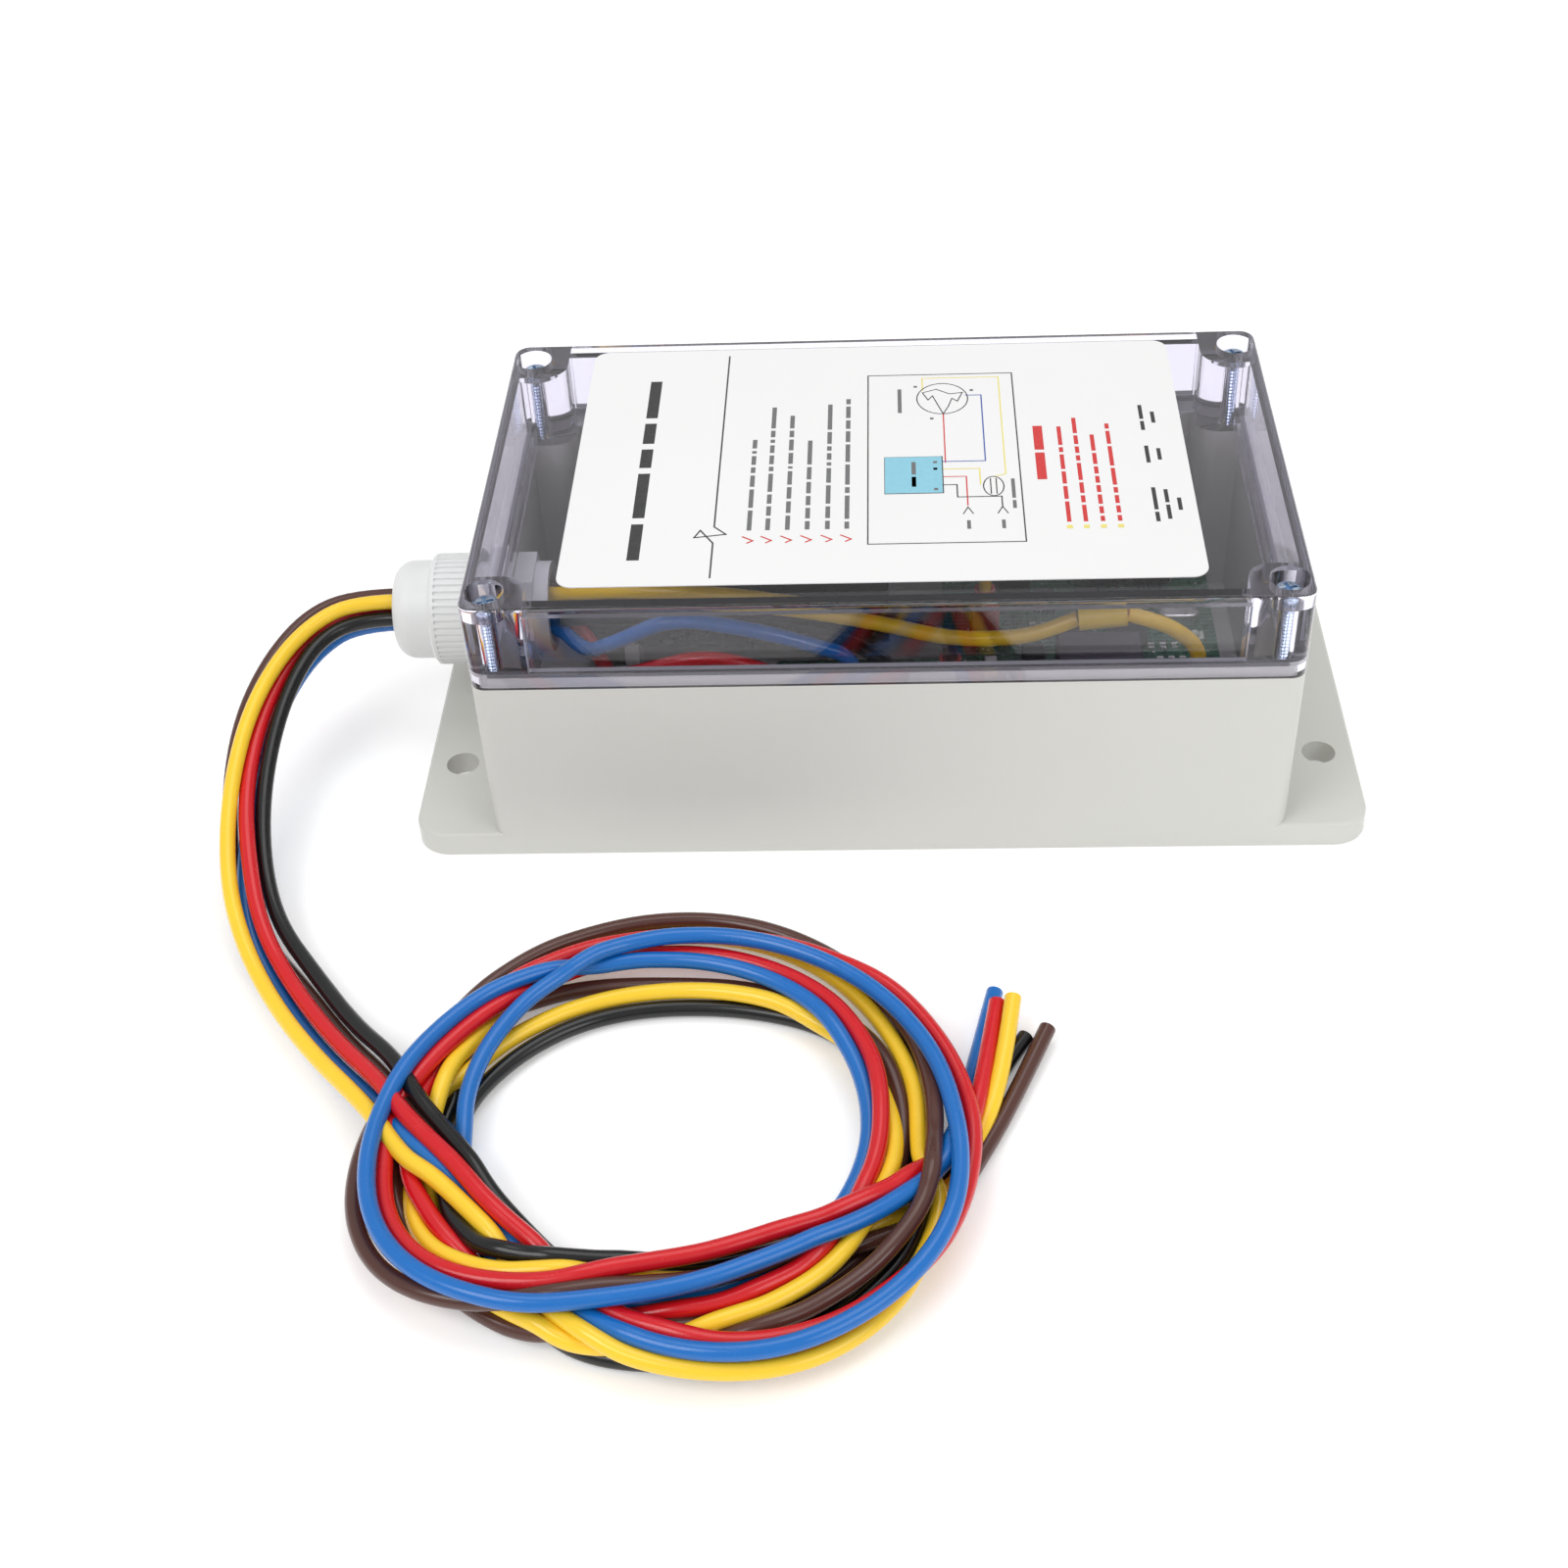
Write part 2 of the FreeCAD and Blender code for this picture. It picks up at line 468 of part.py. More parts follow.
def small_parts():
    """Chip resistors and capacitors in rows."""
    made = []
    rows = ((34, -2, 5, 3.2), (50, 2, 6, 3.0), (72, 24, 4, 3.4), (74, 0, 4, 3.0), (34, 16, 4, 3.2), (58, 20, 6, 3.1),
            (72, 6, 3, 3.2), (-26, -14, 5, 3.4), (-26, -8, 4, 3.4), (2, -10, 6, 3.2), (2, -4, 5, 3.2))
    for x0, y, count, step in rows:
        for i in range(count):
            x = x0 + i * step
            made.append(block(x - 0.8, x + 0.8, y - 0.45, y + 0.45, BOARD_TOP, BOARD_TOP + 0.55))
            made.append(block(x - 0.8, x + 0.8, y + 1.1, y + 2.0, BOARD_TOP, BOARD_TOP + 0.55))
    return Part.makeCompound(made)


def crystal():
    """Oval metal can of the clock crystal."""
    can = round_block(75, 86, 15.7, 20.3, BOARD_TOP, BOARD_TOP + 3.5, 2.25)
    return soften(can, edges_at_z(can, BOARD_TOP + 3.5), 0.6)


def status_leds():
    """Three indicator lamps at the board's right edge."""
    made = []
    for y in (10.0, -3.0, -12.0):
        body = block(81.6, 86.4, y - 1.8, y + 1.8, BOARD_TOP, BOARD_TOP + 1.2)
        lens = Part.makeSphere(1.5, V(84, y, BOARD_TOP + 1.2))
        made.append(body.fuse(lens.cut(block(80, 88, y - 3, y + 3, BOARD_TOP - 2, BOARD_TOP + 0.6))))
    return Part.makeCompound(made)


def varistor():
    """Blue surge-absorbing disc standing on two legs."""
    centre = V(36, -38, BOARD_TOP + 10.5)
    disc = rod(8.0, centre, centre + V(0, 4.2, 0))
    disc = soften(disc, [e for e in disc.Edges if e.Length > 40], 1.6)
    legs = [rod(0.4, V(x, -35.9, BOARD_TOP), V(x, -35.9, BOARD_TOP + 4)) for x in (32.3, 39.7)]
    return disc.fuse(legs)


def current_transformer():
    """Ring core that the run lead passes by, standing on the board."""
    start, end = V(32, 33, BOARD_TOP + 9.5), V(40, 33, BOARD_TOP + 9.5)
    core = ring(9.5, 4.5, start, end)
    rims = [e for e in core.Edges if e.Length > 55]
    core = soften(core, rims, 1.0)
    return core.fuse(block(31.5, 40.5, 25, 41, BOARD_TOP, BOARD_TOP + 2.0)).removeSplitter()


def terminal_tabs():
    """Spade blades soldered to the board where the leads plug on."""
    made = []
    for x, y in LANDINGS.values():
        foot = block(x - 3.1, x + 3.1, y - 2.0, y + 2.0, BOARD_TOP, BOARD_TOP + 0.8)
        blade = block(x - 3.1, x + 3.1, y - 0.4, y + 0.4, BOARD_TOP, BOARD_TOP + 9.0)
        made.append(foot.fuse(blade).removeSplitter())
    return Part.makeCompound(made)


def spade_sleeves():
    """Insulated push-on connectors crimped to the leads' inner ends."""
    made = []
    for x, y in LANDINGS.values():
        z = BOARD_TOP + 2.6
        sleeve = block(x - 4.0, x + 4.0, y - 2.2, y + 2.2, z, z + 8.0)
        sleeve = soften(sleeve, [e for e in sleeve.Edges if e.Length < 8.1 and e.Length > 7.9], 1.2)
        neck = rod(2.9, V(x, y, z + 7.0), V(x, y, z + 12.0))
        slot = block(x - 3.15, x + 3.15, y - 0.42, y + 0.42, z - 1, z + 6.5)
        made.append(sleeve.fuse(neck).cut(slot).cut(rod(LEAD_R, V(x, y, z + 9.0), V(x, y, z + 13))))
    return Part.makeCompound(made)


# Where each lead plugs on to the board, and the height where its copper enters the sleeve.
def bend_radii(points):
    """The arc radius at each inner point of a route."""
    radii = []
    for i in range(1, len(points) - 1):
        before, after = points[i] - points[i - 1], points[i + 1] - points[i]
        half = before.getAngle(after) / 2
        radii.append(0.45 * min(before.Length, after.Length) / math.tan(half))
    return radii


def tube(points, radius):
    """A round tube along straight runs joined by tangent arcs."""
    radii = bend_radii(points)
    edges = []
    here = points[0]
    for i, bend in enumerate(radii, start=1):
        back = (points[i - 1] - points[i]).normalize()
        ahead = (points[i + 1] - points[i]).normalize()
        half = back.getAngle(ahead) / 2
        cut = bend / math.tan(half)
        a, b = points[i] + back * cut, points[i] + ahead * cut
        inward = (back + ahead).normalize()
        middle = points[i] + inward * (bend / math.sin(half) - bend)
        edges.append(Part.makeLine(here, a))
        edges.append(Part.Arc(a, middle, b).toShape())
        here = b
    edges.append(Part.makeLine(here, points[-1]))
    spine = Part.Wire(edges)
    start_way = points[1] - points[0]
    ring_wire = Part.Wire([Part.makeCircle(radius, points[0], start_way)])
    body = spine.makePipeShell([ring_wire], True, False)
    if body.Volume < 0:
        body.reverse()
    section = math.pi * radius * radius
    print("    length %.0f  bends %s  volume/section/length %.4f" % (
        spine.Length, [round(r) for r in radii], body.Volume / (section * spine.Length)))
    return body


def inner_lead(colour):
    y, z = bundle_place(colour)
    return tube([V(LEAD_START_X, y, z)] + INNER_ROUTES[colour], LEAD_R)


def outer_lead(colour):
    y, z = bundle_place(colour)
    return tube([V(LEAD_START_X, y, z)] + OUTER_ROUTES[colour], LEAD_R)


def lead_coil():
    """The outer shape of the spare lead's coil, flat on the ground."""
    low, high = V(COIL_X, COIL_Y, 0), V(COIL_X, COIL_Y, COIL_H)
    coil = ring(COIL_OUT_R, COIL_IN_R, low, high)
    return coil.makeFillet(3.0, [e for e in coil.Edges if e.Length > 100 and len(e.Vertexes) == 1])


def splice_cap():
    """Crimp cap that joins the start lead, the capacitor's lead and the board's lead."""
    a = SPLICE + V(-1.5, 0, 0)
    return rod(3.4, a, a + V(12, 0, 1.2))


def jumper_leads():
    """Capacitor to splice, capacitor to board, and splice to board."""
    run_x, run_y = LANDINGS["run"]
    start_x, start_y = LANDINGS["start"]
    to_board = tube([SPLICE + V(10.5, 0, 1.05), V(72, -25, 44), V(run_x, run_y, 36),
                     V(run_x, run_y, SLEEVE_IN)], LEAD_R)
    tab_x = CAP_X1 + 8.5
    cap_start = tube([V(tab_x, CAP_Y + 9, CAP_Z), V(tab_x + 12, CAP_Y + 9, CAP_Z + 3), V(start_x - 2, 27, 36),
                      V(start_x, 15, 38), V(start_x, start_y, 31), V(start_x, start_y, SLEEVE_IN)], JUMPER_R)
    return Part.makeCompound([to_board, cap_start])


def main():
    save("base_housing", base_housing())
    save("threaded_inserts", threaded_inserts())
    save("clear_lid", clear_lid())
    save("lid_seal", lid_seal())
    save("lid_label", lid_label())
    for sx, side in ((-1, "left"), (1, "right")):
        for sy, face in ((-1, "front"), (1, "back")):
            save("lid_screw_%s_%s" % (face, side), lid_screw(sx * SCREW_X, sy * SCREW_Y))
    save("gland_body", gland_body())
    save("gland_washer", gland_washer())
    save("gland_locknut", gland_locknut())
    save("gland_bush", gland_bush())
    save("gland_nut", gland_nut())
    save("circuit_board", circuit_board())
    save("board_screws", board_screws())
    save("start_capacitor", start_capacitor())
    save("capacitor_terminals", capacitor_terminals())
    save("capacitor_strap", capacitor_strap())
    save("heat_sink", heat_sink())
    save("thyristors", thyristors())
    save("current_transformer", current_transformer())
    save("power_relay", relay())
    save("film_capacitor", on_board(34, 42.5, -23, -13, 12.0, 0.9))
    save("cement_resistor", on_board(26.2, 29.4, -24, -8, 9.5, 0.3))
    save("supply_transformer", on_board(62, 79, -43, -31, 13.0, 0.8))
    save("filter_capacitors", upright_cans([(49.0, -38.5), (56.5, -31.0)], 3.9, 12.0))
    save("varistor", varistor())
    save("control_chips", control_chips())
    save("small_parts", small_parts())
    save("crystal", crystal())
    save("status_leds", status_leds())
    save("terminal_tabs", terminal_tabs())
    save("spade_sleeves", spade_sleeves())
    save("splice_cap", splice_cap())
    save("jumper_leads", jumper_leads())
    for colour in BUNDLE_ANGLE:
        save("inner_lead_" + colour, inner_lead(colour))
        save("outer_lead_" + colour, outer_lead(colour))
        save("lead_tail_" + colour, tube(TAIL_ROUTES[colour], LEAD_R))
    save("lead_coil", lead_coil())


main()
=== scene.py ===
"""Looks for the clear-lid soft starter box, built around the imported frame.

Places and sizes are in millimetres and are turned into metres with MM. Bump depths are in metres.
"""
import math

import bmesh
import bpy
import numpy as np
from mathutils import Matrix, Vector


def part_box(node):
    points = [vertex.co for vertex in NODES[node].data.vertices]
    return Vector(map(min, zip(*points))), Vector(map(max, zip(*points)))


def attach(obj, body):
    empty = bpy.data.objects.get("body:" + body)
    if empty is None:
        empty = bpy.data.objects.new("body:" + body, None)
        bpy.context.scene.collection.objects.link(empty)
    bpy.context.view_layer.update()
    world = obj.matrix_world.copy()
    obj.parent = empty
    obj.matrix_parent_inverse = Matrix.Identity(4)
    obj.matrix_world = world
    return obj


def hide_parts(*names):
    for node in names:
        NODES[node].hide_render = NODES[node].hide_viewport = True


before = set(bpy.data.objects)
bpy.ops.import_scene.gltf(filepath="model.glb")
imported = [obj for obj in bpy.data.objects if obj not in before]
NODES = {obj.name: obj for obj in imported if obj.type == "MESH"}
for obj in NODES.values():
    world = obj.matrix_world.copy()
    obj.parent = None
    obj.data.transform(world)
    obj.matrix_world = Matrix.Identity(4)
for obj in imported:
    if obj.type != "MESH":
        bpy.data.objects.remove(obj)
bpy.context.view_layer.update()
MM = 0.001

# ---------------------------------------------------------------- camera
# The place is in millimetres and the angles are in radians.

CAM_AT = (2.5, -469.7, 385.8)
CAM_YAW, CAM_PITCH, CAM_ROLL = -0.068, 0.724, -0.058
CAM_LENS, CAM_SENSOR = 50.65, 36.0
CAM_NEAR, CAM_FAR = 0.02, 50.0


def camera():
    cy, sy = math.cos(CAM_YAW), math.sin(CAM_YAW)
    cp, sp = math.cos(CAM_PITCH), math.sin(CAM_PITCH)
    ahead = Vector((sy * cp, cy * cp, -sp))
    right = Vector((cy, -sy, 0.0))
    up = right.cross(ahead)
    c, s = math.cos(CAM_ROLL), math.sin(CAM_ROLL)
    right, up = c * right + s * up, c * up - s * right
    data = bpy.data.cameras.new("camera")
    data.lens, data.sensor_width = CAM_LENS, CAM_SENSOR
    data.clip_start, data.clip_end = CAM_NEAR, CAM_FAR
    eye = bpy.data.objects.new("camera", data)
    turn = Matrix((right, up, -ahead)).transposed()
    eye.matrix_world = Matrix.Translation(Vector(CAM_AT) * MM) @ turn.to_4x4()
    bpy.context.scene.collection.objects.link(eye)
    bpy.context.scene.camera = eye


camera()

# ---------------------------------------------------------------- node helpers

MIX_A, MIX_B, MIX_OUT = 6, 7, 2  # the colour sockets of a mix node, by their numbers


class Look:
    """A node material under construction. Coordinates are the row frame's own, in metres."""

    def __init__(self, name):
        self.mat = bpy.data.materials.new(name)
        self.mat.use_nodes = True
        self.tree = self.mat.node_tree
        self.tree.nodes.clear()
        self.out = self.tree.nodes.new("ShaderNodeOutputMaterial")
        self.bsdf = self.tree.nodes.new("ShaderNodeBsdfPrincipled")
        self.link(self.bsdf.outputs["BSDF"], self.out.inputs["Surface"])
        self.where = self.tree.nodes.new("ShaderNodeTexCoord").outputs["Object"]

    def link(self, a, b):
        self.tree.links.new(a, b)

    def set(self, **values):
        for name, value in values.items():
            self.bsdf.inputs[name.replace("_", " ")].default_value = value
        return self

    def noise(self, scale, detail=3.0, rough=0.5, stretch=None):
        tex = self.tree.nodes.new("ShaderNodeTexNoise")
        tex.inputs["Scale"].default_value = scale
        tex.inputs["Detail"].default_value = detail
        tex.inputs["Roughness"].default_value = rough
        if stretch:
            mapping = self.tree.nodes.new("ShaderNodeMapping")
            mapping.inputs["Scale"].default_value = stretch
            self.link(self.where, mapping.inputs["Vector"])
            self.link(mapping.outputs["Vector"], tex.inputs["Vector"])
        else:
            self.link(self.where, tex.inputs["Vector"])
        return tex.outputs["Fac"]

    def cells(self, scale):
        tex = self.tree.nodes.new("ShaderNodeTexVoronoi")
        tex.inputs["Scale"].default_value = scale
        self.link(self.where, tex.inputs["Vector"])
        return tex.outputs["Distance"]

    def span(self, fac, low, high, from_low=0.3, from_high=0.7):
        node = self.tree.nodes.new("ShaderNodeMapRange")
        node.inputs["From Min"].default_value = from_low
        node.inputs["From Max"].default_value = from_high
        node.inputs["To Min"].default_value = low
        node.inputs["To Max"].default_value = high
        self.link(fac, node.inputs["Value"])
        return node.outputs["Result"]

    def blend(self, fac, a, b):
        node = self.tree.nodes.new("ShaderNodeMix")
        node.data_type = "RGBA"
        self.link(fac, node.inputs["Factor"])
        for value, slot in ((a, MIX_A), (b, MIX_B)):
            if isinstance(value, (tuple, list)):
                node.inputs[slot].default_value = (*value[:3], 1.0)
            else:
                self.link(value, node.inputs[slot])
        return node.outputs[MIX_OUT]

    def colour(self, socket):
        self.link(socket, self.bsdf.inputs["Base Color"])

    def roughness(self, socket):
        self.link(socket, self.bsdf.inputs["Roughness"])

    def bump(self, height, depth, strength=1.0):
        node = self.tree.nodes.new("ShaderNodeBump")
        node.inputs["Distance"].default_value = depth
        node.inputs["Strength"].default_value = strength
        self.link(height, node.inputs["Height"])
        previous = self.bsdf.inputs["Normal"].links
        if previous:
            self.link(previous[0].from_socket, node.inputs["Normal"])
        self.link(node.outputs["Normal"], self.bsdf.inputs["Normal"])


def shade(colour, by):
    return tuple(max(0.0, min(1.0, c * by)) for c in colour)


def moulded(name, colour, rough=0.45, grain=2200.0, depth=0.00002, drift=0.05, coat=0.0):
    """Moulded plastic: slow tone drift, fine spark-eroded grain, patchy gloss."""
    look = Look(name).set(Metallic=0.0, Specular_IOR_Level=0.5, Coat_Weight=coat, Coat_Roughness=0.12)
    look.colour(look.blend(look.noise(28.0, 4.0), shade(colour, 1 - drift), shade(colour, 1 + drift)))
    look.roughness(look.span(look.noise(160.0, 5.0, 0.6), rough - 0.06, rough + 0.06))
    look.bump(look.noise(grain, 2.0), depth)
    return look.mat


def metal(name, colour, rough, stretch=(1, 1, 1), drift=0.12):
    """Plated or drawn metal with stretched grain and stained patches."""
    look = Look(name).set(Metallic=1.0)
    look.colour(look.blend(look.noise(140.0, 5.0), shade(colour, 1 - drift), shade(colour, 1 + drift)))
    look.roughness(look.span(look.noise(420.0, 4.0, 0.6), rough - 0.08, rough + 0.12))
    look.bump(look.noise(900.0, 3.0, 0.6, stretch), 0.00001)
    return look.mat


def vinyl(name, colour):
    """Extruded PVC insulation: glossy skin with faint waves and dull patches."""
    look = Look(name).set(Coat_Weight=0.12, Coat_Roughness=0.12, Specular_IOR_Level=0.42)
    look.colour(look.blend(look.noise(60.0, 3.0), shade(colour, 0.93), shade(colour, 1.06)))
    look.roughness(look.span(look.noise(240.0, 4.0, 0.6), 0.16, 0.32, 0.35, 0.75))
    look.bump(look.noise(90.0, 1.0), 0.00004, 0.6)
    look.bump(look.noise(1400.0, 2.0), 0.000003, 0.5)
    return look.mat


# ---------------------------------------------------------------- materials

def clear_plastic():
    """Clear polycarbonate with a faint lilac cast that builds up along its edges. Lamps shine through it."""
    look = Look("lid_clear")
    look.set(Base_Color=(0.93, 0.915, 0.985, 1.0), Transmission_Weight=1.0, IOR=1.49,
             Specular_IOR_Level=0.5, Coat_Weight=0.0)
    look.roughness(look.span(look.noise(190.0, 5.0, 0.6), 0.0, 0.05, 0.35, 0.8))
    look.bump(look.noise(24.0, 2.0), 0.00005)
    tree = look.tree
    edge = tree.nodes.new("ShaderNodeLayerWeight")
    edge.inputs["Blend"].default_value = 0.5
    clearness = look.span(edge.outputs["Facing"], 1.0, 0.62, 0.45, 0.95)
    look.link(clearness, look.bsdf.inputs["Transmission Weight"])
    path = tree.nodes.new("ShaderNodeLightPath")
    through = tree.nodes.new("ShaderNodeBsdfTransparent")
    through.inputs["Color"].default_value = (0.74, 0.735, 0.76, 1.0)
    mix = tree.nodes.new("ShaderNodeMixShader")
    look.link(path.outputs["Is Shadow Ray"], mix.inputs["Fac"])
    look.link(look.bsdf.outputs["BSDF"], mix.inputs[1])
    look.link(through.outputs["BSDF"], mix.inputs[2])
    look.link(mix.outputs["Shader"], look.out.inputs["Surface"])
    soak = tree.nodes.new("ShaderNodeVolumeAbsorption")
    soak.inputs["Color"].default_value = (0.62, 0.56, 0.82, 1.0)
    soak.inputs["Density"].default_value = 5.0
    look.link(soak.outputs["Volume"], look.out.inputs["Volume"])
    return look.mat


def solder_mask():
    """Green board: darker mask over copper tracks that show as a weave of lighter lines, with tinned pads."""
    look = Look("board_green").set(Specular_IOR_Level=0.6, Coat_Weight=0.5, Coat_Roughness=0.15)
    brick = look.tree.nodes.new("ShaderNodeTexBrick")
    brick.offset, brick.squash = 0.37, 1.6
    brick.inputs["Color1"].default_value = (0.008, 0.075, 0.035, 1)
    brick.inputs["Color2"].default_value = (0.012, 0.105, 0.05, 1)
    brick.inputs["Mortar"].default_value = (0.035, 0.23, 0.11, 1)
    brick.inputs["Scale"].default_value = 210.0
    brick.inputs["Mortar Size"].default_value = 0.035
    brick.inputs["Brick Width"].default_value = 0.9
    brick.inputs["Row Height"].default_value = 0.35
    look.link(look.where, brick.inputs["Vector"])
    pads = look.span(look.cells(330.0), 1.0, 0.0, 0.10, 0.16)
    look.colour(look.blend(pads, brick.outputs["Color"], (0.62, 0.62, 0.58)))
    look.roughness(look.span(look.noise(380.0), 0.22, 0.42))
    look.bump(brick.outputs["Fac"], 0.00004)
    return look.mat


def printed_sheet():
    """White polyester label: slight sheen, a trace of coating ripple and an ivory drift."""
    look = Look("label_white").set(Specular_IOR_Level=0.4, Coat_Weight=0.15, Coat_Roughness=0.3)
    look.colour(look.blend(look.noise(18.0, 3.0), (0.80, 0.80, 0.797), (0.84, 0.84, 0.84)))
    look.roughness(look.span(look.noise(420.0, 4.0), 0.34, 0.5))
    look.bump(look.noise(1500.0, 2.0), 0.000006)
    return look.mat


def ink(name, colour):
    """Screen-printed ink with slightly uneven cover."""
    look = Look(name).set(Specular_IOR_Level=0.35)
    thin = tuple(c * 0.95 + 0.03 for c in colour)
    look.colour(look.blend(look.noise(900.0, 4.0), shade(colour, 0.85), thin))
    look.roughness(look.span(look.noise(700.0), 0.38, 0.55))
    return look.mat


def tape_winding():
    """Tape-wrapped coil: overlapping turns of tape show as even ridges."""
    look = Look("tape_yellow").set(Coat_Weight=0.3, Coat_Roughness=0.2)
    look.colour(look.blend(look.noise(260.0, 4.0), (0.72, 0.5, 0.07), (0.84, 0.64, 0.14)))
    look.roughness(look.span(look.noise(300.0), 0.3, 0.45))
    wave = look.tree.nodes.new("ShaderNodeTexWave")
    wave.inputs["Scale"].default_value = 160.0
    wave.inputs["Distortion"].default_value = 1.2
    look.link(look.where, wave.inputs["Vector"])
    look.bump(wave.outputs["Fac"], 0.00012)
    return look.mat


LEAD_COLOURS = {
    "yellow": (0.93, 0.60, 0.03),
    "black": (0.006, 0.0065, 0.007),
    "blue": (0.008, 0.145, 0.49),
    "red": (0.62, 0.008, 0.014),
    "brown": (0.085, 0.032, 0.024),
}
VINYL = {wire: vinyl("lead_" + wire, colour) for wire, colour in LEAD_COLOURS.items()}
HOUSING = moulded("housing_grey", (0.60, 0.60, 0.565), rough=0.42, grain=2600.0, depth=0.000022,
                  drift=0.018)
CLEAR = clear_plastic()
SEAL = moulded("seal_silicone", (0.80, 0.80, 0.80), rough=0.4, drift=0.05)
LABEL = printed_sheet()
ZINC = metal("zinc_screw", (0.60, 0.72, 0.86), rough=0.24, stretch=(1, 1, 6))
BRASS = metal("brass_insert", (0.72, 0.50, 0.20), rough=0.32)
GLAND = moulded("gland_white", (0.74, 0.75, 0.745), rough=0.4, grain=1900.0, depth=0.00002, drift=0.015)
NEOPRENE = moulded("gland_rubber", (0.19, 0.19, 0.20), rough=0.6, grain=1400.0, depth=0.00003)
BOARD = solder_mask()
PHENOLIC = moulded("capacitor_black", (0.017, 0.017, 0.019), rough=0.26, drift=0.12, coat=0.25)
TIN = metal("tin_metal", (0.78, 0.77, 0.74), rough=0.3)
NYLON = moulded("nylon_black", (0.02, 0.02, 0.021), rough=0.45)
SINK = metal("aluminium_sink", (0.62, 0.63, 0.66), rough=0.38, stretch=(8, 1, 1))
RELAY = moulded("relay_grey", (0.075, 0.065, 0.09), rough=0.38)
FILM = moulded("film_tan", (0.56, 0.32, 0.07), rough=0.3, drift=0.09, coat=0.2)
CERAMIC = moulded("ceramic_white", (0.78, 0.77, 0.74), rough=0.7, grain=1200.0, depth=0.00006, drift=0.04)
TAPE = tape_winding()
CAN = moulded("can_dark", (0.02, 0.03, 0.07), rough=0.25, coat=0.3)
VARISTOR = moulded("varistor_blue", (0.03, 0.13, 0.36), rough=0.32, grain=900.0, depth=0.00005)
CHIP = moulded("chip_black", (0.022, 0.022, 0.024), rough=0.5, grain=3000.0)
LAMP = moulded("lamp_clear", (0.72, 0.80, 0.66), rough=0.16, coat=0.5)
SLEEVE = moulded("sleeve_clear", (0.60, 0.06, 0.05), rough=0.25, coat=0.4)
YELLOW_CAP = moulded("splice_yellow", (0.88, 0.60, 0.04), rough=0.25, coat=0.4)
COPPER = metal("strand_copper", (0.86, 0.45, 0.26), rough=0.3, drift=0.18)
INK_BLACK = ink("ink_black", (0.03, 0.03, 0.032))
INK_GREY = ink("ink_grey", (0.16, 0.16, 0.165))
INK_RED = ink("ink_red", (0.66, 0.03, 0.03))
INK_BLUE = ink("ink_blue", (0.05, 0.10, 0.42))
INK_SKY = ink("ink_sky", (0.27, 0.60, 0.74))
INK_YELLOW = ink("ink_yellow", (0.86, 0.75, 0.18))

DRESS = {
    "base_housing": HOUSING, "threaded_inserts": BRASS, "clear_lid": CLEAR, "lid_seal": SEAL,
    "lid_label": LABEL, "gland_body": GLAND, "gland_washer": NEOPRENE, "gland_locknut": GLAND,
    "gland_bush": NEOPRENE, "gland_nut": GLAND, "circuit_board": BOARD, "board_screws": ZINC,
    "start_capacitor": PHENOLIC, "capacitor_terminals": TIN, "capacitor_strap": NYLON,
    "heat_sink": SINK, "thyristors": CHIP, "current_transformer": NYLON, "power_relay": RELAY,
    "film_capacitor": FILM, "cement_resistor": CERAMIC, "supply_transformer": TAPE,
    "filter_capacitors": CAN, "varistor": VARISTOR, "control_chips": CHIP, "small_parts": TIN,
    "crystal": TIN, "status_leds": LAMP, "terminal_tabs": TIN, "spade_sleeves": SLEEVE,
    "splice_cap": YELLOW_CAP, "jumper_leads": VINYL["yellow"],
}
for place in ("front_left", "front_right", "back_left", "back_right"):
    DRESS["lid_screw_" + place] = ZINC
for wire, skin in VINYL.items():
    DRESS["inner_lead_" + wire] = skin
for node, finish in DRESS.items():
    for holder in NODES[node].material_slots:
        holder.material = finish

# ---------------------------------------------------------------- leads

LEAD_R = 2.0
